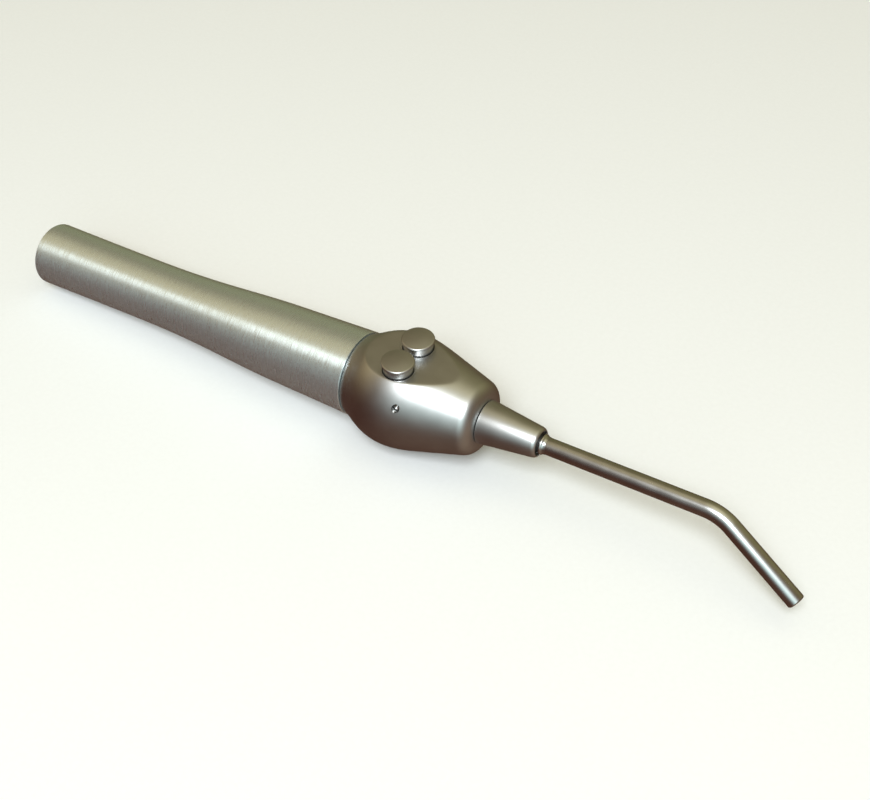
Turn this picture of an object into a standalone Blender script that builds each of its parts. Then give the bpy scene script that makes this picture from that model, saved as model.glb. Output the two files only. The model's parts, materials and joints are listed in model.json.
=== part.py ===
"""Dental three-way syringe: a turned handle, a valve head with two buttons, and a bent nozzle.

The instrument is laid out about its own long axis: +X runs from the hose end to the nozzle, +Z to the
buttons, and the origin lies on the axis under the buttons. One empty then tips it into its rest pose, lying
on the handle's rear rim and the head's belly on z = 0 with the buttons upright. Metres throughout.
"""

import math

import bmesh
import bpy
from mathutils import Matrix, Vector

MM = 0.001
GAP = 0.3 * MM

# Sides of round pieces, by size.
LARGE_SIDES = 40
MEDIUM_SIDES = 28
SMALL_SIDES = 16
SECTION_SIDES = 6

# Handle sleeve: (along, radius) of the outside, and of the bore, from the rear mouth to the front edge.
HANDLE_OUTSIDE = ((-111.0, 8.02), (-97.0, 7.88), (-83.0, 7.79), (-69.3, 7.87),
                  (-55.4, 8.47), (-41.5, 9.36), (-27.5, 9.84), (-13.6, 10.25))
HANDLE_BORE = ((-111.0, 6.9), (-62.0, 6.7), (-42.0, 8.0), (-29.0, 8.95), (-13.6, 8.95))
HANDLE_EDGE = 0.35 * MM
HANDLE_REAR_X = HANDLE_OUTSIDE[0][0] * MM
HANDLE_REAR_RADIUS = HANDLE_OUTSIDE[0][1] * MM

# Valve head: (along, radius) of the outside from the neck to the front shoulder.
HEAD_OUTSIDE = ((-13.3, 9.9), (-12.2, 10.42), (-11.0, 11.0), (-9.0, 12.05), (-6.0, 13.15),
                (-2.6, 13.63), (2.0, 13.2), (7.0, 11.93), (12.0, 10.5), (17.1, 9.03))
HEAD_FRONT_X = 19.6 * MM
SHOULDER_RADIUS = 3.4 * MM
SHOULDER_CENTRE_RADIUS = 5.75 * MM
SPIGOT_RADIUS = 8.6 * MM
SPIGOT_REAR_X = -27.0 * MM
SLEEVE_RING_X = -22.0 * MM
NOSE_THREAD_RADIUS = 3.9 * MM
NOSE_THREAD_X = 26.0 * MM
SOCKET_RADIUS = 2.85 * MM
SOCKET_END_X = 5.5 * MM
FACET_HEIGHT = 10.88 * MM

# Buttons and valves: heights run along the valve axis from the facet, which is 0.
BUTTON_OFFSET = 4.24 * MM
BUTTON_TRAVEL = 1.5 * MM
CAP_RADIUS = 3.86 * MM
CAP_EDGE_Z = 2.5 * MM
CAP_TOP_Z = 2.9 * MM
CAP_UNDER_Z = 2.1 * MM
SKIRT_RADIUS = 3.45 * MM
SKIRT_END_Z = -7.0 * MM
GROOVE_RADIUS = 2.55 * MM
BORE_RADIUS = 3.75 * MM
STEM_TOP_Z = 0.3 * MM
STEM_TOP_RADIUS = 1.05 * MM
STEM_RADIUS = 0.8 * MM
BUSH_TOP_Z = -11.6 * MM
BUSH_END_Z = -16.2 * MM
BUSH_RADIUS = 3.45 * MM
BUSH_PORT_Z = -15.4 * MM
CHAMBER_RADIUS = 2.7 * MM
CHAMBER_END_Z = -20.4 * MM
POPPET_RADIUS = 1.9 * MM
POPPET_Z = -17.2 * MM
POPPET_THICKNESS = 0.9 * MM
VALVE_RING_RADIUS = 1.26 * MM
RING_SECTION = 0.27 * MM
SPRING_RADIUS = 2.3 * MM
SPRING_WIRE = 0.2 * MM
SPRING_TURNS = 4.5
SPRING_STEPS_PER_TURN = 12

# Cross pin that catches both buttons' grooves, in the valves' frame.
PIN_X = 3.6 * MM
PIN_Z = -4.5 * MM
PIN_RADIUS = 0.62 * MM
PIN_HOLE_RADIUS = 0.92 * MM
PIN_VISIBLE_Y = -10.9 * MM
PIN_BURIED_Y = 9.5 * MM

# Nose cone.
CONE_REAR_X = HEAD_FRONT_X + GAP
CONE_REAR_RADIUS = 5.21 * MM
CONE_NOSE = ((32.9, 3.64), (33.45, 3.46), (33.8, 3.2), (33.9, 3.05))
CONE_MOUTH_RADIUS = 2.95 * MM
CONE_MOUTH_REAR_X = 33.0 * MM
SNAP_RING_X = 29.0 * MM
SNAP_RING_RADIUS = 2.8 * MM
SNAP_RING_WIRE = 0.3 * MM

# Nozzle: straight, one bend, straight; turned from the vertical about the long axis as it was left by hand.
NOZZLE_RADIUS = 2.0 * MM
NOZZLE_BORE = 1.45 * MM
NOZZLE_REAR_X = 7.5 * MM
NOZZLE_BEND_X = 72.7 * MM
NOZZLE_BEND_RADIUS = 12.0 * MM
NOZZLE_BEND_ANGLE = math.radians(32.8)
NOZZLE_END_LENGTH = 20.1 * MM
NOZZLE_TURN = math.radians(-21.3)
WATER_TUBE_RADIUS = 0.8 * MM
WATER_TUBE_BORE = 0.45 * MM
WATER_TUBE_REAR_X = 6.3 * MM
FERRULE_REAR_X = 21.0 * MM
FERRULE_BEAD = ((34.1, 2.35), (34.35, 2.41), (34.55, 2.43), (34.75, 2.33), (35.0, 2.19))
FERRULE_FRONT_X = 35.6 * MM
FERRULE_BORE = 2.12 * MM
FERRULE_RADIUS = 2.35 * MM
FERRULE_COLLAR_RADIUS = 2.65 * MM
NOZZLE_RING_RADIUS = 2.42 * MM
NOZZLE_RING_X = (9.5 * MM, 16.5 * MM)

# Hose end, inside the handle's rear mouth.
COUPLING_X = (-97.0 * MM, -90.0 * MM)
COUPLING_RADIUS = 6.55 * MM
COUPLING_RING_X = -92.5 * MM
PORT_OFFSET = 3.1 * MM
PORT_RADIUS = 1.4 * MM
LINE_RADIUS = 1.1 * MM
LINE_BORE = 0.7 * MM
LINE_FRONT = Vector((-7.6, 3.4, -4.8)) * MM
LINE_BENDS_X = (-31.0 * MM, -60.0 * MM)
LINE_REAR_X = -93.4 * MM
BARB_END_X = -104.5 * MM


def clear_scene():
    for thing in list(bpy.data.objects):
        bpy.data.objects.remove(thing, do_unlink=True)


def metal(name, colour, roughness, metallic=1.0):
    material = bpy.data.materials.new(name)
    material.use_nodes = True
    shader = material.node_tree.nodes["Principled BSDF"]
    shader.inputs["Base Color"].default_value = (*colour, 1.0)
    shader.inputs["Roughness"].default_value = roughness
    shader.inputs["Metallic"].default_value = metallic
    return material


def axis_frame(name, parent, location, rotation):
    empty = bpy.data.objects.new(name, None)
    bpy.context.scene.collection.objects.link(empty)
    empty.parent = parent
    empty.location = location
    empty.rotation_euler = rotation
    return empty


def finish_piece(name, mesh_in_work, parent, material):
    bmesh.ops.recalc_face_normals(mesh_in_work, faces=mesh_in_work.faces)
    mesh = bpy.data.meshes.new(name)
    mesh_in_work.to_mesh(mesh)
    mesh_in_work.free()
    mesh.shade_smooth()
    mesh.set_sharp_from_angle(angle=math.radians(30))
    piece = bpy.data.objects.new(name, mesh)
    bpy.context.scene.collection.objects.link(piece)
    piece.parent = parent
    if material is None:
        piece.hide_render = True
        piece.display_type = "WIRE"
    else:
        mesh.materials.append(material)
    return piece


def smooth_through(points, pieces):
    """Points of a Catmull-Rom curve through (along, radius) pairs given in millimetres, now in metres."""
    corners = [Vector(p) * MM for p in points]
    padded = [2 * corners[0] - corners[1], *corners, 2 * corners[-1] - corners[-2]]
    curve = []
    for before, start, end, after in zip(padded, padded[1:], padded[2:], padded[3:]):
        for step in range(pieces):
            t = step / pieces
            blend = 2 * start + (end - before) * t
            blend += (2 * before - 5 * start + 4 * end - after) * t**2
            blend += (3 * start - before - 3 * end + after) * t**3
            curve.append(tuple(blend / 2))
    return [*curve, tuple(corners[-1])]


def arc(centre, radius, start, end, pieces):
    """Points of an arc from one angle to another, in degrees."""
    angles = [math.radians(start + (end - start) * step / pieces) for step in range(pieces + 1)]
    return [(centre[0] + radius * math.cos(a), centre[1] + radius * math.sin(a)) for a in angles]


def turned(name, outline, sides, parent, material, axis="X", sweep=math.tau):
    """A turned piece. The outline's (along, radius) points form a loop, or start and end on the axis."""
    work = bmesh.new()
    half_step = Matrix.Rotation(math.pi / sides, 3, axis)
    spots = [Vector((a, 0, r)) if axis == "X" else Vector((r, 0, a)) for a, r in outline]
    corners = [work.verts.new(half_step @ spot) for spot in spots]
    edges = [work.edges.new(pair) for pair in zip(corners, corners[1:])]
    if outline[0][1] > 0:
        edges.append(work.edges.new((corners[-1], corners[0])))
    around = (1, 0, 0) if axis == "X" else (0, 0, 1)
    whole = sweep == math.tau
    bmesh.ops.spin(work, geom=corners + edges, cent=(0, 0, 0), axis=around, angle=sweep, steps=sides,
                   use_merge=whole)
    bmesh.ops.remove_doubles(work, verts=work.verts, dist=1e-7)
    if not whole:
        ends = [edge for edge in work.edges if edge.is_boundary]
        bmesh.ops.holes_fill(work, edges=ends, sides=0)
    return finish_piece(name, work, parent, material)


def ring(name, along, radius, section, parent, material, axis="X", sweep=math.tau):
    """An O-ring, or a split ring when it sweeps less than a full turn."""
    step = 360 / SECTION_SIDES
    outline = arc((along, radius), section, 0, 360 - step, SECTION_SIDES - 1)
    return turned(name, outline, MEDIUM_SIDES - 8, parent, material, axis, sweep)


def swept(name, path, radius, bore, sides, parent, material):
    """A round bar along a path, or a tube where it has a bore."""
    work = bmesh.new()
    path = [Vector(point) for point in path]
    tangents = [(b - a).normalized() for a, b in zip(path, path[1:])]
    tangents = [tangents[0], *[(a + b).normalized() for a, b in zip(tangents, tangents[1:])], tangents[-1]]
    side = tangents[0].orthogonal().normalized()
    loops = {radius: [], bore: []} if bore else {radius: []}
    for index, (point, tangent) in enumerate(zip(path, tangents)):
        if index:
            side = tangents[index - 1].rotation_difference(tangent) @ side
        other = tangent.cross(side)
        for size, rings in loops.items():
            turns = [math.tau * k / sides for k in range(sides)]
            spots = [point + size * (math.cos(t) * side + math.sin(t) * other) for t in turns]
            rings.append([work.verts.new(spot) for spot in spots])
    for rings in loops.values():
        for first, second in zip(rings, rings[1:]):
            bridge(work, first, second)
    for end in (0, -1):
        if bore:
            bridge(work, loops[radius][end], loops[bore][end])
        else:
            work.faces.new(loops[radius][end])
    return finish_piece(name, work, parent, material)


def bridge(work, first, second):
    for k in range(len(first)):
        work.faces.new((first[k - 1], first[k], second[k], second[k - 1]))


def cut(piece, cutter):
    modifier = piece.modifiers.new(cutter.name, "BOOLEAN")
    modifier.operation = "DIFFERENCE"
    modifier.solver = "EXACT"
    modifier.object = cutter


def drill(piece, name, start, end, radius, parent, sides=10):
    cut(piece, swept(name, [start, end], radius, 0, sides, parent, None))


def head_outline():
    """The head's outside from the neck to the front face, with the front shoulder as an arc."""
    side = smooth_through(HEAD_OUTSIDE, 2)
    centre = (HEAD_FRONT_X - SHOULDER_RADIUS, SHOULDER_CENTRE_RADIUS)
    return side[:-1] + arc(centre, SHOULDER_RADIUS, 73, 0, 5)


def rest_tilt():
    """The nose-up angle at which the handle's rear rim and the head's belly both touch the table."""
    rim = HANDLE_REAR_X + HANDLE_EDGE
    return max(math.atan2(radius - HANDLE_REAR_RADIUS, along - rim) for along, radius in head_outline())


def handle_sleeve(parent, steel):
    outside = smooth_through(HANDLE_OUTSIDE, 2)
    outside[0] = (HANDLE_REAR_X + HANDLE_EDGE, HANDLE_REAR_RADIUS)
    outside.insert(0, (HANDLE_REAR_X, HANDLE_REAR_RADIUS - HANDLE_EDGE))
    front_x, front_radius = outside[-1]
    outside[-1] = (front_x - 0.15 * MM, front_radius)
    outside.append((front_x, front_radius - 0.15 * MM))
    bore = [(along * MM, radius * MM) for along, radius in reversed(HANDLE_BORE)]
    return turned("handle_sleeve", outside + bore, LARGE_SIDES, parent, steel)


def head_body(parent, valves, steel):
    """The valve block: one turned body with the facet cut across it, then its bores and drillings."""
    groove_front = SLEEVE_RING_X + 0.7 * MM
    groove_rear = SLEEVE_RING_X - 0.7 * MM
    groove_radius = 8.0 * MM
    rear = [(HEAD_OUTSIDE[0][0] * MM, SPIGOT_RADIUS),
            (groove_front, SPIGOT_RADIUS), (groove_front, groove_radius),
            (groove_rear, groove_radius), (groove_rear, SPIGOT_RADIUS),
            (SPIGOT_REAR_X, SPIGOT_RADIUS), (SPIGOT_REAR_X, 0)]
    front = [(HEAD_FRONT_X, NOSE_THREAD_RADIUS), (NOSE_THREAD_X, NOSE_THREAD_RADIUS),
             (NOSE_THREAD_X, SOCKET_RADIUS), (SOCKET_END_X, SOCKET_RADIUS), (SOCKET_END_X, 0)]
    outline = rear[::-1] + head_outline() + front
    body = turned("head_body", outline, LARGE_SIDES, parent, steel)
    slab = bmesh.new()
    size = 40 * MM
    bmesh.ops.create_cube(slab, size=size, matrix=Matrix.Translation((0, 0, size / 2)))
    cut(body, finish_piece("facet_cutter", slab, valves, None))
    mouth = (PIN_X, -14 * MM, PIN_Z)
    drill(body, "pin_hole", mouth, (PIN_X, PIN_BURIED_Y + GAP, PIN_Z), PIN_HOLE_RADIUS, valves, 14)
    return body


def valve_bore(body, name, side, valve, parent):
    """Stepped valve bore, the line socket and drilling that feed it, and the drilling to the nozzle."""
    ledge = BUSH_END_Z - GAP
    outline = [(3 * MM, 0), (3 * MM, BORE_RADIUS), (ledge, BORE_RADIUS), (ledge, CHAMBER_RADIUS),
               (CHAMBER_END_Z, CHAMBER_RADIUS), (CHAMBER_END_Z, 0)]
    cut(body, turned(f"{name}_bore", outline, MEDIUM_SIDES, valve, None, "Z"))
    line = Vector((LINE_FRONT.x, side * LINE_FRONT.y, LINE_FRONT.z))
    socket_rear = Vector((SPIGOT_REAR_X - 2 * MM, line.y, line.z))
    socket_front = line + Vector((0.6 * MM, 0, 0))
    drill(body, f"{name}_line_socket", socket_rear, socket_front, PORT_RADIUS, parent, 14)
    chamber = Vector((0, side * BUTTON_OFFSET, FACET_HEIGHT + (ledge + CHAMBER_END_Z) / 2))
    drill(body, f"{name}_feed", line, chamber, 0.7 * MM, parent)
    seat = Vector((0, side * BUTTON_OFFSET, FACET_HEIGHT + BUSH_PORT_Z))
    outlet_x = 12.8 * MM if name == "air" else 7.0 * MM
    drill(body, f"{name}_outlet", seat, (outlet_x, 0, -1.2 * MM), 0.6 * MM, parent)


def cross_pin(valves, steel):
    path = [(PIN_X, PIN_VISIBLE_Y, PIN_Z), (PIN_X, PIN_BURIED_Y, PIN_Z)]
    return swept("cross_pin", path, PIN_RADIUS, 0, 12, valves, steel)


def button(name, valve, steel):
    """Domed cap on a skirt, with the groove that the cross pin catches and a blind bore for the stem."""
    pin_play = 0.12 * MM
    groove_end = PIN_Z - PIN_RADIUS - pin_play
    groove_top = PIN_Z + PIN_RADIUS + BUTTON_TRAVEL + pin_play
    stem_bore = STEM_TOP_RADIUS + 0.2 * MM
    bore_top = STEM_TOP_Z + GAP
    dome = [(CAP_TOP_Z, 0), (CAP_TOP_Z - 0.03 * MM, 1.3 * MM), (CAP_TOP_Z - 0.11 * MM, 2.4 * MM),
            (CAP_TOP_Z - 0.22 * MM, 3.3 * MM), (CAP_EDGE_Z + 0.02 * MM, 3.72 * MM),
            (CAP_EDGE_Z - 0.12 * MM, CAP_RADIUS)]
    skirt = [(CAP_UNDER_Z, CAP_RADIUS - 0.05 * MM), (CAP_UNDER_Z - 0.05 * MM, SKIRT_RADIUS),
             (groove_top, SKIRT_RADIUS), (groove_top, GROOVE_RADIUS),
             (groove_end, GROOVE_RADIUS), (groove_end, SKIRT_RADIUS),
             (SKIRT_END_Z, SKIRT_RADIUS), (SKIRT_END_Z, stem_bore), (bore_top, stem_bore), (bore_top, 0)]
    return turned(name, dome + skirt, MEDIUM_SIDES, valve, steel, "Z")


def valve_stem(name, valve, steel):
    neck_z = SKIRT_END_Z - 0.2 * MM
    poppet_end = POPPET_Z - POPPET_THICKNESS
    outline = [(STEM_TOP_Z, 0), (STEM_TOP_Z, STEM_TOP_RADIUS), (neck_z, STEM_TOP_RADIUS),
               (neck_z, STEM_RADIUS), (POPPET_Z, STEM_RADIUS), (POPPET_Z, POPPET_RADIUS),
               (poppet_end, POPPET_RADIUS), (poppet_end, 0)]
    return turned(name, outline, SMALL_SIDES, valve, steel, "Z")


def valve_bush(name, side, valve, brass):
    """The valve seat: it guides the stem, holds its seal in a counterbore, and has one port for the flow."""
    guide = STEM_RADIUS + GAP
    counterbore = VALVE_RING_RADIUS + 2 * RING_SECTION
    counterbore_end = BUSH_TOP_Z - 2.9 * MM
    outline = [(BUSH_TOP_Z, counterbore), (BUSH_TOP_Z, BUSH_RADIUS), (BUSH_END_Z, BUSH_RADIUS),
               (BUSH_END_Z, guide), (counterbore_end, guide), (counterbore_end, counterbore)]
    bush = turned(name, outline, MEDIUM_SIDES - 4, valve, brass, "Z")
    mouth = Vector((4.5 * MM, -side * 2.4 * MM, BUSH_PORT_Z))
    drill(bush, f"{name}_port", (0, 0, BUSH_PORT_Z), mouth, 0.35 * MM, valve, 8)
    return bush


def valve_spring(name, valve, steel):
    """Compression spring between the button's foot and the bush."""
    low = BUSH_TOP_Z + SPRING_WIRE + 0.15 * MM
    high = SKIRT_END_Z - SPRING_WIRE - 0.15 * MM
    count = round(SPRING_TURNS * SPRING_STEPS_PER_TURN)
    path = []
    for step in range(count + 1):
        turn = math.tau * step / SPRING_STEPS_PER_TURN
        height = low + (high - low) * step / count
        path.append((SPRING_RADIUS * math.cos(turn), SPRING_RADIUS * math.sin(turn), height))
    return swept(name, path, SPRING_WIRE, 0, SECTION_SIDES, valve, steel)


def valve(name, side, body, valves, instrument, metals):
    axis = axis_frame(f"{name}_valve_axis", valves, (0, side * BUTTON_OFFSET, 0), (0, 0, 0))
    valve_bore(body, name, side, axis, instrument)
    button(f"{name}_button", axis, metals["blasted"])
    valve_stem(f"{name}_valve_stem", axis, metals["polished"])
    valve_spring(f"{name}_valve_spring", axis, metals["spring"])
    valve_bush(f"{name}_valve_bush", side, axis, metals["brass"])
    stem_ring_z = BUSH_TOP_Z - 0.75 * MM
    ring(f"{name}_stem_o_ring", stem_ring_z, VALVE_RING_RADIUS, RING_SECTION, axis, metals["rubber"], "Z")
    seat_ring_z = POPPET_Z + RING_SECTION + 0.15 * MM
    ring(f"{name}_poppet_o_ring", seat_ring_z, VALVE_RING_RADIUS, RING_SECTION, axis, metals["rubber"], "Z")


def nose_cone(parent, steel):
    """The nut on the head's front thread: it closes over the snap ring that grips the nozzle."""
    thread_bore = NOSE_THREAD_RADIUS + GAP
    bore = FERRULE_COLLAR_RADIUS + 0.2 * MM
    recess = SNAP_RING_RADIUS + SNAP_RING_WIRE + 0.2 * MM
    half_recess = SNAP_RING_WIRE + 0.3 * MM
    nose = [(along * MM, radius * MM) for along, radius in CONE_NOSE]
    edge = 0.2 * MM
    outline = [(CONE_REAR_X, CONE_REAR_RADIUS - edge), (CONE_REAR_X + edge, CONE_REAR_RADIUS), *nose,
               (nose[-1][0], CONE_MOUTH_RADIUS), (CONE_MOUTH_REAR_X, CONE_MOUTH_RADIUS),
               (CONE_MOUTH_REAR_X, bore),
               (SNAP_RING_X + half_recess, bore), (SNAP_RING_X + half_recess, recess),
               (SNAP_RING_X - half_recess, recess), (SNAP_RING_X - half_recess, bore),
               (NOSE_THREAD_X + GAP, bore), (NOSE_THREAD_X + GAP, thread_bore), (CONE_REAR_X, thread_bore)]
    return turned("nose_cone", outline, MEDIUM_SIDES, parent, steel)


def nozzle_path(rear_x, trim):
    """Centreline: straight from rear_x, the bend, and straight to the tip, less the trim."""
    path = [(rear_x, 0, 0)]
    pieces = 8
    for step in range(pieces + 1):
        angle = NOZZLE_BEND_ANGLE * step / pieces
        across = NOZZLE_BEND_RADIUS * (1 - math.cos(angle))
        path.append((NOZZLE_BEND_X + NOZZLE_BEND_RADIUS * math.sin(angle), 0, -across))
    end_x, _, end_z = path[-1]
    length = NOZZLE_END_LENGTH - trim
    tip_x = end_x + length * math.cos(NOZZLE_BEND_ANGLE)
    path.append((tip_x, 0, end_z - length * math.sin(NOZZLE_BEND_ANGLE)))
    return path


def nozzle_ferrule(nozzle, steel):
    """Sleeve on the nozzle, with two collars for the snap ring and a small bead in front of the nose cone."""
    near = SNAP_RING_WIRE + 0.25 * MM
    far = near + 0.6 * MM
    outline = [(FERRULE_REAR_X, FERRULE_BORE), (FERRULE_REAR_X, FERRULE_RADIUS)]
    for low, high in ((-far, -near), (near, far)):
        outline += [(SNAP_RING_X + low, FERRULE_RADIUS), (SNAP_RING_X + low, FERRULE_COLLAR_RADIUS),
                    (SNAP_RING_X + high, FERRULE_COLLAR_RADIUS), (SNAP_RING_X + high, FERRULE_RADIUS)]
    bead = [(along * MM, radius * MM) for along, radius in FERRULE_BEAD]
    outline += [*bead, (FERRULE_FRONT_X, FERRULE_BORE + 0.03 * MM), (FERRULE_FRONT_X, FERRULE_BORE)]
    return turned("nozzle_ferrule", outline, MEDIUM_SIDES - 4, nozzle, steel)


def nozzle(parent, metals):
    axis = axis_frame("nozzle_axis", parent, (0, 0, 0), (NOZZLE_TURN, 0, 0))
    sides = MEDIUM_SIDES - 8
    path = nozzle_path(NOZZLE_REAR_X, 0)
    swept("nozzle_tube", path, NOZZLE_RADIUS, NOZZLE_BORE, sides, axis, metals["polished"])
    water_path = nozzle_path(WATER_TUBE_REAR_X, GAP)
    swept("nozzle_water_tube", water_path, WATER_TUBE_RADIUS, WATER_TUBE_BORE, 10, axis, metals["polished"])
    nozzle_ferrule(axis, metals["polished"])
    for name, ring_x in zip(("nozzle_rear_o_ring", "nozzle_front_o_ring"), NOZZLE_RING_X):
        ring(name, ring_x, NOZZLE_RING_RADIUS, RING_SECTION, axis, metals["rubber"])


def fluid_line(name, side, parent, steel):
    """Rigid line from the hose end to the head, with one gentle S-bend inside the handle."""
    front = Vector((LINE_FRONT.x, side * LINE_FRONT.y, LINE_FRONT.z))
    bend_front, bend_rear = LINE_BENDS_X
    port = Vector((LINE_REAR_X, side * PORT_OFFSET, 0))
    path = [front]
    pieces = 8
    for step in range(pieces + 1):
        t = step / pieces
        ease = (1 - math.cos(math.pi * t)) / 2
        along = bend_front + (bend_rear - bend_front) * t
        path.append(Vector((along, front.y + (port.y - front.y) * ease, front.z * (1 - ease))))
    path.append(port)
    return swept(name, path, LINE_RADIUS, LINE_BORE, 12, parent, steel)


def hose_coupling(parent, brass):
    """Round plug in the handle's rear bore, with one through port for air and one for water."""
    rear, front = COUPLING_X
    half_groove = 0.6 * MM
    groove = COUPLING_RADIUS - 0.65 * MM
    outline = [(rear, 0), (rear, COUPLING_RADIUS), (COUPLING_RING_X - half_groove, COUPLING_RADIUS),
               (COUPLING_RING_X - half_groove, groove), (COUPLING_RING_X + half_groove, groove),
               (COUPLING_RING_X + half_groove, COUPLING_RADIUS), (front, COUPLING_RADIUS), (front, 0)]
    plug = turned("hose_coupling", outline, MEDIUM_SIDES, parent, brass)
    for name, side in (("air", 1), ("water", -1)):
        start = (rear - 1 * MM, side * PORT_OFFSET, 0)
        end = (front + 1 * MM, side * PORT_OFFSET, 0)
        drill(plug, f"{name}_port", start, end, PORT_RADIUS, parent, 16)
    return plug


def hose_barb(name, side, parent, brass):
    """Hollow barb that the hose's inner tube pushes onto; its spigot sits in the coupling's port."""
    spot = axis_frame(f"{name}_axis", parent, (0, side * PORT_OFFSET, 0), (0, 0, 0))
    bore = 0.6 * MM
    spigot = PORT_RADIUS - 0.25 * MM
    flange_x = COUPLING_X[0] - GAP
    flange_radius = 2.0 * MM
    neck = 1.25 * MM
    outline = [(flange_x + 3.0 * MM, bore), (flange_x + 3.0 * MM, spigot), (flange_x, spigot),
               (flange_x, flange_radius), (flange_x - 0.8 * MM, flange_radius), (flange_x - 0.8 * MM, neck)]
    tooth = 1.7 * MM
    for number in range(2):
        tooth_x = flange_x - 2.4 * MM - number * tooth
        outline += [(tooth_x, neck), (tooth_x, neck + 0.4 * MM), (tooth_x - tooth, neck)]
    outline += [(BARB_END_X, 1.1 * MM), (BARB_END_X, bore)]
    return turned(name, outline, SMALL_SIDES, spot, brass)


def stand_on_origin(instrument):
    """Moves the instrument so that its box stands on z = 0 and is centred on x = y = 0."""
    bpy.context.view_layer.update()
    spots = []
    for name in ("handle_sleeve", "head_body", "nozzle_tube"):
        piece = bpy.data.objects[name]
        spots += [piece.matrix_world @ corner.co for corner in piece.data.vertices]
    low = [min(spot[k] for spot in spots) for k in range(3)]
    high = [max(spot[k] for spot in spots) for k in range(3)]
    instrument.location = (-(low[0] + high[0]) / 2, -(low[1] + high[1]) / 2, -low[2])


def main():
    clear_scene()
    metals = {
        "brushed": metal("brushed_steel", (0.56, 0.54, 0.50), 0.34),
        "blasted": metal("blasted_steel", (0.50, 0.48, 0.44), 0.45),
        "polished": metal("polished_steel", (0.58, 0.56, 0.52), 0.22),
        "spring": metal("spring_steel", (0.45, 0.45, 0.46), 0.3),
        "brass": metal("brass", (0.70, 0.53, 0.26), 0.35),
        "rubber": metal("seal_rubber", (0.02, 0.02, 0.022), 0.7, metallic=0.0),
    }
    tilt = rest_tilt()
    instrument = axis_frame("instrument_axis", None, (0, 0, 0), (0, -tilt, 0))
    valves = axis_frame("valves_frame", instrument, (0, 0, FACET_HEIGHT), (0, tilt, 0))
    handle_sleeve(instrument, metals["brushed"])
    body = head_body(instrument, valves, metals["blasted"])
    ring("sleeve_o_ring", SLEEVE_RING_X, 8.5 * MM, 0.3 * MM, instrument, metals["rubber"])
    for name, side in (("air", 1), ("water", -1)):
        valve(name, side, body, valves, instrument, metals)
        fluid_line(f"{name}_line", side, instrument, metals["polished"])
        hose_barb(f"{name}_barb", side, instrument, metals["brass"])
    cross_pin(valves, metals["polished"])
    nose_cone(instrument, metals["blasted"])
    ring("nozzle_snap_ring", SNAP_RING_X, SNAP_RING_RADIUS, SNAP_RING_WIRE, instrument, metals["spring"],
         sweep=math.radians(325))
    nozzle(instrument, metals)
    hose_coupling(instrument, metals["brass"])
    coupling_ring_radius = COUPLING_RADIUS - 0.15 * MM
    ring("coupling_o_ring", COUPLING_RING_X, coupling_ring_radius, RING_SECTION, instrument, metals["rubber"])
    stand_on_origin(instrument)


main()
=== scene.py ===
"""Looks of the three-way dental syringe: fine turned steel pieces around the frame, light and camera.

The pieces are built in the instrument's own frame: +X along the handle towards the nozzle,
+Z to the buttons, origin on the axis under the buttons. The frame's joints say where that is.
Metres throughout.
"""

import json
import math

import bmesh
import bpy
import numpy as np
from mathutils import Matrix, Vector


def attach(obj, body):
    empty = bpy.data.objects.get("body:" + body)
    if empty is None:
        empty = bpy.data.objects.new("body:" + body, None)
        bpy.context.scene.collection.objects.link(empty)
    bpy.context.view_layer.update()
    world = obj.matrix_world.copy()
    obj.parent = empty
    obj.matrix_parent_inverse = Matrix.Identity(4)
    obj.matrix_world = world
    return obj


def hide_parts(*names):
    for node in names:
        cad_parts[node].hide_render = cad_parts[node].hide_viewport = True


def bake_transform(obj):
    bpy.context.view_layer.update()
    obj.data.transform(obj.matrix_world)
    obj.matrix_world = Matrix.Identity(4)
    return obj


MM = 0.001

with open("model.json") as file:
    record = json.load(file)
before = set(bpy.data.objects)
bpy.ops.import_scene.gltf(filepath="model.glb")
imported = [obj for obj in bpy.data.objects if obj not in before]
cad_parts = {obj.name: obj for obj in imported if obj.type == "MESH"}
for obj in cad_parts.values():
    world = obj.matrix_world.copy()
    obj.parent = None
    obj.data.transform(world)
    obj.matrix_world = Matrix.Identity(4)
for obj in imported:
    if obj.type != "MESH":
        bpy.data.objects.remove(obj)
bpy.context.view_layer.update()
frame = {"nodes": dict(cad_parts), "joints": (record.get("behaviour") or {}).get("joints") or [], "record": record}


# Frame --------------------------------------------------------------------------------------------

def joint(name):
    return next(j for j in frame["joints"] if j["name"] == name)


SWIVEL = joint("nozzle_swivel")
AXIS_ORIGIN = Vector(SWIVEL["pos_m"])
AXIS = Vector(SWIVEL["axis"]).normalized()
TILT = math.atan2(AXIS.z, AXIS.x)
INSTRUMENT = Matrix.Translation(AXIS_ORIGIN) @ Matrix.Rotation(-TILT, 4, "Y")
NOZZLE_TURN = math.radians(-21.3)
NOZZLE_FRAME = INSTRUMENT @ Matrix.Rotation(NOZZLE_TURN, 4, "X")

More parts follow.
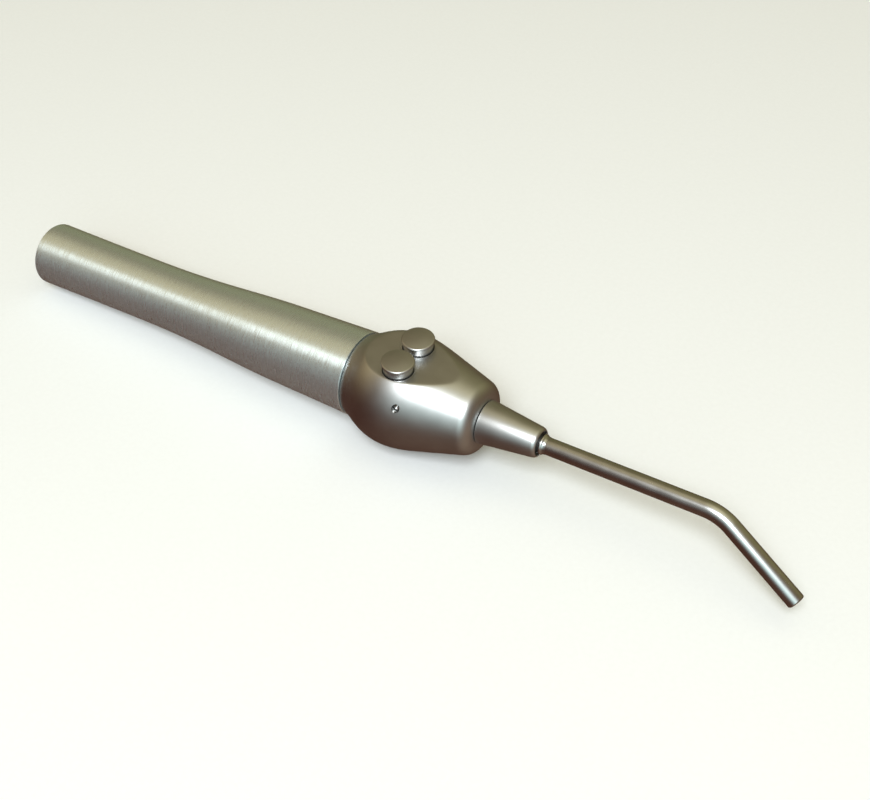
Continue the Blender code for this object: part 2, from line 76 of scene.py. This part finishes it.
# Outlines are (along, radius) in millimetres, in the instrument's frame.
HANDLE_OUTSIDE = ((-111.0, 8.02), (-97.0, 7.88), (-83.0, 7.79), (-69.3, 7.87),
                  (-55.4, 8.47), (-41.5, 9.36), (-27.5, 9.84), (-13.6, 10.25))
HANDLE_BORE = ((-13.6, 8.95), (-29.0, 8.95), (-42.0, 8.0), (-62.0, 6.7), (-110.7, 6.9), (-111.0, 7.2))
HEAD_OUTSIDE = ((-13.3, 9.9), (-12.2, 10.42), (-11.0, 11.0), (-9.0, 12.05), (-6.0, 13.15),
                (-2.6, 13.63), (2.0, 13.2), (7.0, 11.93), (12.0, 10.5), (17.1, 9.03))
HEAD_REAR_X = -13.3 * MM
HEAD_FRONT_X = 19.6 * MM
SPIGOT_RADIUS = 8.6 * MM
SEAL_GROOVE = ((-22.7, 8.6), (-22.7, 8.0), (-21.3, 8.0), (-21.3, 8.6))
FACET_HEIGHT = 10.88 * MM
BUTTON_OFFSET = 4.24 * MM
BUTTON_BORE = 3.68 * MM
BUTTON_BORE_FLOOR = -16.5 * MM
PIN_HOLE_RADIUS = 0.92 * MM
PIN_SPOT = Vector((3.6, 0, -4.5)) * MM
VALVES = INSTRUMENT @ Matrix.Translation((0, 0, FACET_HEIGHT)) @ Matrix.Rotation(TILT, 4, "Y")

# The camera looks down at the head from its front right, by about 45 degrees. World millimetres.
CAMERA_POSITION = Vector((131.8, -184.9, 241.9)) * MM
CAMERA_TARGET = Vector((12.8, 0.5, 14.0)) * MM
CAMERA_ROLL = math.radians(-1.3)
CAMERA_LENS = 57.33  # mm


# Mesh tools ---------------------------------------------------------------------------------------

def smooth_curve(points, spacing):
    """Natural cubic spline r(x) through (x, r) points in millimetres, sampled in metres."""
    x, r = np.array(points, float).T * MM
    order = np.argsort(x)
    x, r = x[order], r[order]
    step = np.diff(x)
    count = len(x)
    system = np.eye(count)
    right = np.zeros(count)
    for k in range(1, count - 1):
        system[k, k - 1:k + 2] = step[k - 1], 2 * (step[k - 1] + step[k]), step[k]
        right[k] = 6 * ((r[k + 1] - r[k]) / step[k] - (r[k] - r[k - 1]) / step[k - 1])
    bend = np.linalg.solve(system, right)
    samples = np.linspace(x[0], x[-1], max(2, round((x[-1] - x[0]) / spacing) + 1))
    k = np.clip(np.searchsorted(x, samples, side="right") - 1, 0, count - 2)
    a, b, h = x[k + 1] - samples, samples - x[k], step[k]
    radius = (bend[k] * a**3 + bend[k + 1] * b**3) / (6 * h)
    radius += (r[k] / h - bend[k] * h / 6) * a + (r[k + 1] / h - bend[k + 1] * h / 6) * b
    return list(zip(samples.tolist(), radius.tolist()))


def arc(centre, radius, start, end, pieces):
    angles = [math.radians(start + (end - start) * k / pieces) for k in range(pieces + 1)]
    return [(centre[0] + radius * math.cos(a), centre[1] + radius * math.sin(a)) for a in angles]


def rounded(outline, radius, pieces=4):
    """Outline with each corner of more than 25 degrees cut by a small arc-like curve."""
    result = []
    count = len(outline)
    for k, here in enumerate(outline):
        before, here, after = (Vector(outline[i % count]) for i in (k - 1, k, k + 1))
        into, out = here - before, after - here
        on_axis = here.y <= 0 or k in (0, count - 1)
        if on_axis or into.length < 1e-9 or out.length < 1e-9 or into.angle(out) < math.radians(25):
            result.append(tuple(here))
            continue
        reach = min(radius, into.length * 0.45, out.length * 0.45)
        start, end = here - into.normalized() * reach, here + out.normalized() * reach
        for step in range(pieces + 1):
            t = step / pieces
            spot = start * (1 - t)**2 + here * 2 * t * (1 - t) + end * t**2
            result.append(tuple(spot))
    return result


def to_object(name, work, place, sharp=35):
    bmesh.ops.recalc_face_normals(work, faces=work.faces)
    mesh = bpy.data.meshes.new(name)
    work.to_mesh(mesh)
    work.free()
    mesh.shade_smooth()
    mesh.set_sharp_from_angle(angle=math.radians(sharp))
    piece = bpy.data.objects.new(name, mesh)
    bpy.context.scene.collection.objects.link(piece)
    piece.matrix_world = place
    return piece


def skin(work, rings):
    """Faces between neighbouring rings; a ring of one vertex is a pole."""
    for first, second in zip(rings, rings[1:]):
        many = max(len(first), len(second))
        for k in range(many):
            corners = [first[k - 1], first[k]] if len(first) > 1 else [first[0]]
            corners += [second[k], second[k - 1]] if len(second) > 1 else [second[0]]
            work.faces.new(corners)


def turned(name, outline, sides, place, axis="X", loop=True, sharp=35):
    """A lathe piece from (along, radius) points; loop joins the last point to the first."""
    work = bmesh.new()
    rings = []
    for along, radius in outline:
        turns = [math.tau * (k + 0.5) / sides for k in range(sides)] if radius > 1e-9 else [0.0]
        across = [(radius * math.cos(t), radius * math.sin(t)) for t in turns]
        spots = [(along, a, b) if axis == "X" else (a, b, along) for a, b in across]
        rings.append([work.verts.new(spot) for spot in spots])
    if loop:
        rings.append(rings[0])
    skin(work, rings)
    return to_object(name, work, place, sharp)


def swept(name, path, profile, sides, place, sharp=35):
    """Rings along a path: profile holds (index on the path, radius) for each ring, round the wall."""
    work = bmesh.new()
    path = [Vector(p) for p in path]
    tangents = [(b - a).normalized() for a, b in zip(path, path[1:])]
    tangents = [tangents[0], *[(a + b).normalized() for a, b in zip(tangents, tangents[1:])], tangents[-1]]
    side = [tangents[0].orthogonal().normalized()]
    for before, after in zip(tangents, tangents[1:]):
        side.append(before.rotation_difference(after) @ side[-1])
    rings = []
    for index, radius in profile:
        u, v = side[index], tangents[index].cross(side[index])
        turns = [math.tau * k / sides for k in range(sides)]
        spots = [path[index] + radius * (math.cos(t) * u + math.sin(t) * v) for t in turns]
        rings.append([work.verts.new(spot) for spot in spots])
    rings.append(rings[0])
    skin(work, rings)
    return to_object(name, work, place, sharp)


def cut(piece, cutters):
    """Takes the cutters out of a piece, for good."""
    for cutter in cutters:
        modifier = piece.modifiers.new("cut", "BOOLEAN")
        modifier.operation = "DIFFERENCE"
        modifier.solver = "EXACT"
        modifier.object = cutter
    bpy.context.view_layer.update()
    graph = bpy.context.evaluated_depsgraph_get()
    mesh = bpy.data.meshes.new_from_object(piece.evaluated_get(graph))
    piece.modifiers.clear()
    piece.data = mesh
    for cutter in cutters:
        bpy.data.objects.remove(cutter)


# Materials ----------------------------------------------------------------------------------------

class Nodes:
    """A short way to write a material's node tree."""

    def __init__(self, name, colour, roughness, metallic=1.0):
        self.material = bpy.data.materials.new(name)
        self.material.use_nodes = True
        self.tree = self.material.node_tree
        self.shader = self.tree.nodes["Principled BSDF"]
        self.shader.inputs["Base Color"].default_value = (*colour, 1)
        self.shader.inputs["Roughness"].default_value = roughness
        self.shader.inputs["Metallic"].default_value = metallic
        self.place = self.add("ShaderNodeTexCoord").outputs["Object"]

    def add(self, kind, **settings):
        node = self.tree.nodes.new(kind)
        for name, value in settings.items():
            setattr(node, name, value)
        return node

    def link(self, source, target):
        self.tree.links.new(source, target)

    def noise(self, scale, detail=2.0, stretch=(1, 1, 1)):
        mapping = self.add("ShaderNodeMapping")
        mapping.inputs["Scale"].default_value = [scale * s for s in stretch]
        self.link(self.place, mapping.inputs["Vector"])
        noise = self.add("ShaderNodeTexNoise")
        noise.inputs["Scale"].default_value = 1.0
        noise.inputs["Detail"].default_value = detail
        self.link(mapping.outputs["Vector"], noise.inputs["Vector"])
        return noise.outputs["Fac"]

    def mix(self, first, second, share):
        """first + (second - first) * share, for numbers."""
        node = self.add("ShaderNodeMix", data_type="FLOAT")
        node.inputs["Factor"].default_value = share
        self.link(first, node.inputs["A"])
        self.link(second, node.inputs["B"])
        return node.outputs["Result"]

    def spread(self, source, low, high, from_low=0.3, from_high=0.7):
        node = self.add("ShaderNodeMapRange")
        node.inputs["From Min"].default_value = from_low
        node.inputs["From Max"].default_value = from_high
        node.inputs["To Min"].default_value = low
        node.inputs["To Max"].default_value = high
        self.link(source, node.inputs["Value"])
        return node.outputs["Result"]

    def colours(self, source, dark, light):
        node = self.add("ShaderNodeMix", data_type="RGBA")
        node.inputs["A"].default_value = (*dark, 1)
        node.inputs["B"].default_value = (*light, 1)
        self.link(source, node.inputs["Factor"])
        self.link(node.outputs["Result"], self.shader.inputs["Base Color"])

    def bump(self, source, depth, strength=1.0):
        node = self.add("ShaderNodeBump")
        node.inputs["Distance"].default_value = depth
        node.inputs["Strength"].default_value = strength
        self.link(source, node.inputs["Height"])
        self.link(node.outputs["Normal"], self.shader.inputs["Normal"])

    def roughen(self, source):
        self.link(source, self.shader.inputs["Roughness"])


def brushed_steel():
    """Steel turned against a fine abrasive: hair-thin rings round the handle's axis over a satin ground."""
    nodes = Nodes("turned_satin_steel", (0.86, 0.95, 0.97), 0.29, 0.90)
    rings = nodes.noise(1.0, 2.0, (8000, 350, 350))
    bands = nodes.noise(1.0, 2.0, (2500, 120, 120))
    grain = nodes.mix(rings, bands, 0.1)
    nodes.colours(nodes.spread(grain, 0.0, 1.0), (0.84, 0.93, 0.95), (0.88, 0.97, 0.99))
    nodes.roughen(nodes.spread(grain, 0.24, 0.34))
    nodes.bump(grain, 0.003 * MM, 0.6)
    nodes.shader.inputs["Anisotropic"].default_value = 0.93
    nodes.shader.inputs["Anisotropic Rotation"].default_value = 0.25
    tangent = nodes.add("ShaderNodeTangent", direction_type="RADIAL", axis="X")
    nodes.link(tangent.outputs["Tangent"], nodes.shader.inputs["Tangent"])
    return nodes.material


def blasted_steel():
    """Steel blasted with fine beads: even satin, with a slight cloudiness."""
    nodes = Nodes("bead_blasted_steel", (0.55, 0.55, 0.55), 0.36)
    beads = nodes.noise(5000, 2.0)
    clouds = nodes.noise(260, 3.0)
    nodes.colours(nodes.spread(clouds, 0.0, 1.0), (0.53, 0.53, 0.53), (0.57, 0.57, 0.57))
    nodes.roughen(nodes.spread(nodes.mix(beads, clouds, 0.5), 0.34, 0.38))
    nodes.bump(beads, 0.009 * MM, 0.5)
    return nodes.material


def polished_steel():
    """Drawn tube and turned ends, lightly polished: faint lines along the tube."""
    nodes = Nodes("drawn_bright_steel", (0.56, 0.56, 0.56), 0.24)
    lines = nodes.noise(1.0, 3.0, (120, 5000, 5000))
    clouds = nodes.noise(300, 3.0)
    nodes.colours(nodes.spread(clouds, 0.0, 1.0), (0.53, 0.53, 0.53), (0.59, 0.59, 0.59))
    nodes.roughen(nodes.spread(nodes.mix(lines, clouds, 0.4), 0.20, 0.28))
    nodes.bump(lines, 0.002 * MM, 0.4)
    return nodes.material


def spring_steel():
    nodes = Nodes("coiled_spring_wire", (0.45, 0.45, 0.46), 0.3)
    drawn = nodes.noise(3000, 3.0)
    nodes.colours(nodes.spread(drawn, 0.0, 1.0), (0.38, 0.38, 0.39), (0.50, 0.50, 0.51))
    nodes.roughen(nodes.spread(drawn, 0.24, 0.36))
    nodes.bump(drawn, 0.003 * MM, 0.5)
    return nodes.material


def machined_brass():
    nodes = Nodes("machined_brass", (0.70, 0.53, 0.26), 0.34)
    tool_marks = nodes.noise(1.0, 2.0, (5000, 250, 250))
    tarnish = nodes.noise(400, 3.0)
    nodes.colours(nodes.spread(tarnish, 0.0, 1.0), (0.58, 0.42, 0.19), (0.74, 0.57, 0.30))
    nodes.roughen(nodes.spread(nodes.mix(tool_marks, tarnish, 0.5), 0.28, 0.42))
    nodes.bump(tool_marks, 0.004 * MM, 0.6)
    return nodes.material


def seal_rubber():
    nodes = Nodes("black_seal_rubber", (0.02, 0.02, 0.022), 0.62, 0.0)
    skin_grain = nodes.noise(6000, 3.0)
    nodes.colours(nodes.spread(skin_grain, 0.0, 1.0), (0.015, 0.015, 0.017), (0.03, 0.03, 0.032))
    nodes.roughen(nodes.spread(skin_grain, 0.55, 0.72))
    nodes.bump(skin_grain, 0.006 * MM, 0.5)
    return nodes.material


def settle(piece, body, slot, material, *replaced):
    """Gives a piece its material and its body, and hides the CAD nodes that it stands for; the slot is not used.
    """
    piece.data.materials.clear()
    piece.data.materials.append(material)
    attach(piece, body)
    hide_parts(*replaced)
    return piece


# Pieces -------------------------------------------------------------------------------------------

def handle(steel):
    outside = smooth_curve(HANDLE_OUTSIDE, 0.8 * MM)
    edge = 0.35 * MM
    rear_x, rear_radius = outside[0]
    rear = arc((rear_x + edge, rear_radius - edge), edge, 180, 90, 5)
    front_x, front_radius = outside[-1]
    front = [(front_x - 0.12 * MM, front_radius), (front_x, front_radius - 0.12 * MM)]
    bore = [(along * MM, radius * MM) for along, radius in HANDLE_BORE]
    piece = turned("handle_shell", rear + outside[2:-1] + front + bore, 192, INSTRUMENT)
    return settle(piece, "syringe_body", "brushed_steel", steel, "handle_sleeve")


def head_radius_samples():
    """(x, r) along the head from the neck to the edge of the front face, shoulder included."""
    shoulder = 3.4 * MM
    side = smooth_curve(HEAD_OUTSIDE, 0.2 * MM)
    centre = (HEAD_FRONT_X - shoulder, 5.75 * MM)
    return side[:-1] + arc(centre, shoulder, 73, 0, 14)


def head_surface():
    """The head as rings about the axis: a turned body whose upper side is levelled by the facet's plane."""
    softness = 0.16 * MM
    least_edge = 0.10
    on_facet, off_facet = 36, 96
    groove = [(along * MM, radius * MM) for along, radius in SEAL_GROOVE]
    back = [(-27 * MM, 0), (-27 * MM, SPIGOT_RADIUS), *groove, (HEAD_REAR_X, SPIGOT_RADIUS)]
    front = [(HEAD_FRONT_X, 3.9 * MM), (26 * MM, 3.9 * MM), (26 * MM, 2.85 * MM),
             (5.5 * MM, 2.85 * MM), (5.5 * MM, 0)]
    outline = back + head_radius_samples() + front
    work = bmesh.new()
    rings = []
    for x, radius in outline:
        if radius < 1e-9:
            rings.append([work.verts.new((x, 0, 0))])
            continue
        level = FACET_HEIGHT - math.tan(TILT) * x
        edge = max(least_edge, math.acos(min(1.0, level / radius)))
        half = [edge * k / on_facet for k in range(on_facet)]
        half += [edge + (math.pi - edge) * (k / off_facet)**1.25 for k in range(off_facet + 1)]
        turns = half + [math.tau - t for t in half[-2:0:-1]]
        ring = []
        for turn in turns:
            reach = radius
            if math.cos(turn) > 1e-3:
                flat = level / math.cos(turn)
                reach = (radius + flat - math.hypot(radius - flat, softness)) / 2
            ring.append(work.verts.new((x, -reach * math.sin(turn), reach * math.cos(turn))))
        rings.append(ring)
    skin(work, rings)
    return to_object("valve_head", work, INSTRUMENT, 40)


def head(steel):
    piece = head_surface()
    cutters = []
    for side in (1, -1):
        place = VALVES @ Matrix.Translation((0, side * BUTTON_OFFSET, 0))
        bore = [(3 * MM, 0), (3 * MM, BUTTON_BORE), (0.0, BUTTON_BORE),
                (BUTTON_BORE_FLOOR, BUTTON_BORE), (BUTTON_BORE_FLOOR, 0)]
        cutters.append(turned("bore", bore, 96, place, "Z", loop=False))
    hole = [(-14 * MM, 0), (-14 * MM, PIN_HOLE_RADIUS), (9.8 * MM, PIN_HOLE_RADIUS), (9.8 * MM, 0)]
    place = VALVES @ Matrix.Translation(PIN_SPOT) @ Matrix.Rotation(math.radians(90), 4, "Z")
    cutters.append(turned("hole", hole, 48, place, loop=False))
    cut(piece, cutters)
    piece.data.set_sharp_from_angle(angle=math.radians(40))
    return settle(piece, "syringe_body", "blasted_steel", steel, "head_body")


def cross_pin(steel):
    ends = [(-10.9 * MM, 0), (-10.9 * MM, 0.62 * MM), (9.5 * MM, 0.62 * MM), (9.5 * MM, 0)]
    outline = rounded(ends, 0.2 * MM)
    place = VALVES @ Matrix.Translation(PIN_SPOT) @ Matrix.Rotation(math.radians(90), 4, "Z")
    piece = turned("cross_pin_fine", outline, 48, place, loop=False)
    return settle(piece, "syringe_body", "polished_steel", steel, "cross_pin")


def button(name, side, steel):
    cap, skirt, groove = 3.86 * MM, 3.45 * MM, 2.55 * MM
    sag = 0.25 * MM
    rim = 0.42 * MM
    top = 2.9 * MM
    flat = cap - rim
    dome = [(top - sag * (k / 8)**2, flat * k / 8) for k in range(9)]
    outline = dome + arc((top - sag - rim, flat), rim, 0, 90, 8)[1:]
    outline += rounded([(2.1 * MM, cap), (2.05 * MM, skirt), (-2.26 * MM, skirt), (-2.26 * MM, groove),
                        (-5.24 * MM, groove), (-5.24 * MM, skirt), (-7.0 * MM, skirt), (-7.0 * MM, 1.25 * MM),
                        (0.6 * MM, 1.25 * MM), (0.6 * MM, 0)], 0.1 * MM, 3)
    place = VALVES @ Matrix.Translation((0, side * BUTTON_OFFSET, 0))
    piece = turned(f"{name}_push_button", outline, 128, place, "Z", loop=False)
    return settle(piece, f"{name}_button", "blasted_steel", steel, f"{name}_button")


def spring(name, side, steel):
    """Coil between the valve bush, which stays, and the button's foot, which moves."""
    turns, radius, wire = 4.5, 2.3 * MM, 0.2 * MM
    low, high = -11.25 * MM, -7.35 * MM
    count = round(turns * 32)
    path = []
    for k in range(count + 1):
        turn = math.tau * turns * k / count
        path.append((radius * math.cos(turn), radius * math.sin(turn), low + (high - low) * k / count))
    profile = [(0, 0.02 * MM)] + [(k, wire) for k in range(count + 1)] + [(count, 0.02 * MM)]
    place = VALVES @ Matrix.Translation((0, side * BUTTON_OFFSET, 0))
    piece = swept(f"{name}_return_spring", path, profile, 12, place)
    piece.data.materials.append(steel)
    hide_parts(f"{name}_valve_spring")
    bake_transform(piece)
    return piece


def nose_cone(steel):
    nose = [(32.9, 3.64), (33.3, 3.53), (33.6, 3.37), (33.82, 3.19), (33.9, 3.05), (33.85, 2.95)]
    outline = [(19.72, 4.2), (19.72, 5.12), (19.84, 5.22), *nose, (33.0, 2.9), (33.0, 2.85), (26.3, 2.85),
               (26.3, 4.2)]
    outline = [(along * MM, radius * MM) for along, radius in outline]
    piece = turned("nozzle_nut", rounded(outline, 0.12 * MM), 128, INSTRUMENT)
    return settle(piece, "syringe_body", "blasted_steel", steel, "nose_cone")


def nozzle_path(rear_x, trim):
    bend_x, bend_radius, bend, reach = 72.7 * MM, 12.0 * MM, math.radians(32.8), 20.1 * MM - trim
    path = [(rear_x, 0, 0)]
    for k in range(25):
        angle = bend * k / 24
        path.append((bend_x + bend_radius * math.sin(angle), 0, -bend_radius * (1 - math.cos(angle))))
    end = Vector(path[-1])
    ahead = Vector((math.cos(bend), 0, -math.sin(bend)))
    lip = 0.35 * MM
    for share in (0.0, 0.35, 0.7, 1.0):
        path.append(tuple(end + ahead * (reach - lip + lip * share)))
    return path


def nozzle_tube(steel):
    outer, inner = 2.0 * MM, 1.45 * MM
    path = nozzle_path(7.5 * MM, 0)
    last = len(path) - 1
    profile = [(k, outer) for k in range(last - 2)]
    profile += [(last - 2, outer - 0.02 * MM), (last - 1, outer - 0.10 * MM), (last, outer - 0.26 * MM)]
    profile += [(last, inner + 0.05 * MM)] + [(k, inner) for k in range(last - 1, -1, -1)]
    piece = swept("nozzle_outer_tube", path, profile, 64, NOZZLE_FRAME)
    return settle(piece, "nozzle", "polished_steel", steel, "nozzle_tube")


def nozzle_water_tube(steel):
    path = nozzle_path(6.3 * MM, 0.3 * MM)
    last = len(path) - 1
    profile = [(k, 0.8 * MM) for k in range(last + 1)] + [(k, 0.45 * MM) for k in range(last, -1, -1)]
    piece = swept("nozzle_inner_tube", path, profile, 32, NOZZLE_FRAME)
    return settle(piece, "nozzle", "polished_steel", steel, "nozzle_water_tube")


def ferrule(steel):
    """Sleeve round the tube, with two collars inside the nut and a small bead where it comes out."""
    bead = [(34.0, 2.35), (34.2, 2.36), (34.35, 2.41), (34.5, 2.43), (34.62, 2.41), (34.75, 2.33),
            (34.9, 2.22), (35.1, 2.12), (35.35, 2.07), (35.6, 2.05)]
    outline = [(21.0, 2.03), (21.0, 2.35), (27.85, 2.35), (27.85, 2.65), (28.45, 2.65), (28.45, 2.35),
               (29.55, 2.35), (29.55, 2.65), (30.15, 2.65), (30.15, 2.35), *bead, (35.6, 2.03)]
    outline = [(along * MM, radius * MM) for along, radius in outline]
    piece = turned("nozzle_collar", rounded(outline, 0.1 * MM), 96, NOZZLE_FRAME)
    return settle(piece, "nozzle", "polished_steel", steel, "nozzle_ferrule")


def repaint_cad(materials):
    """The CAD pieces that stay as they are take their slot's material."""
    slots = {row["node"]: row["material_slot"] for row in frame["record"]["subparts"]}
    for name, node in frame["nodes"].items():
        if node.hide_render:
            continue
        node.data.materials.clear()
        node.data.materials.append(materials[slots[name]])


# Studio -------------------------------------------------------------------------------------------

def studio_floor():
    bpy.ops.mesh.primitive_plane_add(size=6.0, location=(0, 0, -0.0001))
    floor = bpy.context.object
    floor.name = "studio_floor"
    nodes = Nodes("studio_paper", (0.96, 0.97, 0.99), 0.8, 0.0)
    fibres = nodes.noise(900, 3.0)
    nodes.colours(nodes.spread(fibres, 0.0, 1.0), (0.95, 0.96, 0.98), (0.97, 0.98, 1.0))
    nodes.roughen(nodes.spread(fibres, 0.75, 0.85))
    floor.data.materials.append(nodes.material)
    floor.visible_glossy = False


def soft_light(name, direction, distance, size, power, colour):
    light = bpy.data.lights.new(name, "AREA")
    light.shape = "RECTANGLE"
    light.size, light.size_y = size
    light.energy = power
    light.color = colour
    lamp = bpy.data.objects.new(name, light)
    bpy.context.scene.collection.objects.link(lamp)
    lamp.location = direction * distance
    lamp.rotation_mode = "QUATERNION"
    lamp.rotation_quaternion = direction.to_track_quat("Z", "Y")
    return lamp


WINDOW = (-67, 54)  # azimuth and elevation, in degrees

# Each glow of the room: where it is (azimuth, elevation in degrees), how narrow it is, and its light.
GLOWS = {
    "window_glow": (*WINDOW, 14.0, (1.25, 1.35, 1.33)),
    "window_sill": (-63, 22, 11.0, (0.95, 1.3, 1.3)),
    "ceiling": (55, 80, 11.0, (0.8, 0.77, 0.48)),
    "back_wall": (70, 30, 4.5, (0.24, 0.26, 0.12)),
    "back_table": (134, 3, 8.0, (0.12, 0.17, 0.09)),
    "left_wall": (195, 38, 8.5, (0.52, 0.45, 0.24)),
    "table_front": (-15, -36, 2.5, (0.25, 0.21, 0.15)),
}
ROOM_SHADE = (0.055, 0.008, 0.002)


def towards(azimuth, elevation):
    turn, rise = math.radians(azimuth), math.radians(elevation)
    return Vector((math.cos(rise) * math.cos(turn), math.cos(rise) * math.sin(turn), math.sin(rise)))


def room():
    """What the metal mirrors: a dim warm room with a few soft glows, each fading evenly from its middle."""
    world = bpy.data.worlds.new("studio_room")
    bpy.context.scene.world = world
    world.use_nodes = True
    tree = world.node_tree
    direction = tree.nodes.new("ShaderNodeTexCoord").outputs["Generated"]
    total = None
    for name, (azimuth, elevation, narrow, colour) in GLOWS.items():
        along = tree.nodes.new("ShaderNodeVectorMath")
        along.operation = "DOT_PRODUCT"
        along.inputs[1].default_value = towards(azimuth, elevation)
        tree.links.new(direction, along.inputs[0])
        away = tree.nodes.new("ShaderNodeMath")
        away.operation = "MULTIPLY_ADD"
        away.inputs[1].default_value = narrow
        away.inputs[2].default_value = -narrow
        tree.links.new(along.outputs["Value"], away.inputs[0])
        fade = tree.nodes.new("ShaderNodeMath")
        fade.operation = "EXPONENT"
        tree.links.new(away.outputs[0], fade.inputs[0])
        light = tree.nodes.new("ShaderNodeVectorMath")
        light.name = name
        light.operation = "SCALE"
        light.inputs[0].default_value = colour
        tree.links.new(fade.outputs[0], light.inputs["Scale"])
        add = tree.nodes.new("ShaderNodeVectorMath")
        add.operation = "ADD"
        tree.links.new(light.outputs["Vector"], add.inputs[0])
        if total is None:
            add.inputs[1].default_value = ROOM_SHADE
        else:
            tree.links.new(total, add.inputs[1])
        total = add.outputs["Vector"]
    tree.links.new(total, tree.nodes["Background"].inputs["Color"])


def studio_camera():
    data = bpy.data.cameras.new("studio_camera")
    data.sensor_width = 36.0
    data.lens = CAMERA_LENS
    data.clip_start, data.clip_end = 0.01, 20
    camera = bpy.data.objects.new("studio_camera", data)
    bpy.context.scene.collection.objects.link(camera)
    look = (CAMERA_TARGET - CAMERA_POSITION).to_track_quat("-Z", "Y").to_matrix().to_4x4()
    camera.matrix_world = Matrix.Translation(CAMERA_POSITION) @ look @ Matrix.Rotation(CAMERA_ROLL, 4, "Z")
    bpy.context.scene.camera = camera


def main():
    materials = {
        "brushed_steel": brushed_steel(),
        "blasted_steel": blasted_steel(),
        "polished_steel": polished_steel(),
        "spring_steel": spring_steel(),
        "brass": machined_brass(),
        "seal_rubber": seal_rubber(),
    }
    handle(materials["brushed_steel"])
    head(materials["blasted_steel"])
    cross_pin(materials["polished_steel"])
    nose_cone(materials["blasted_steel"])
    for name, side in (("air", 1), ("water", -1)):
        button(name, side, materials["blasted_steel"])
        spring(name, side, materials["spring_steel"])
    nozzle_tube(materials["polished_steel"])
    nozzle_water_tube(materials["polished_steel"])
    ferrule(materials["polished_steel"])
    repaint_cad(materials)
    studio_floor()
    room()
    soft_light("key", towards(*WINDOW), 0.9, (0.34, 0.34), 5.4, (0.92, 0.98, 1.0))
    studio_camera()
    bpy.context.scene.view_settings.view_transform = "Standard"


main()
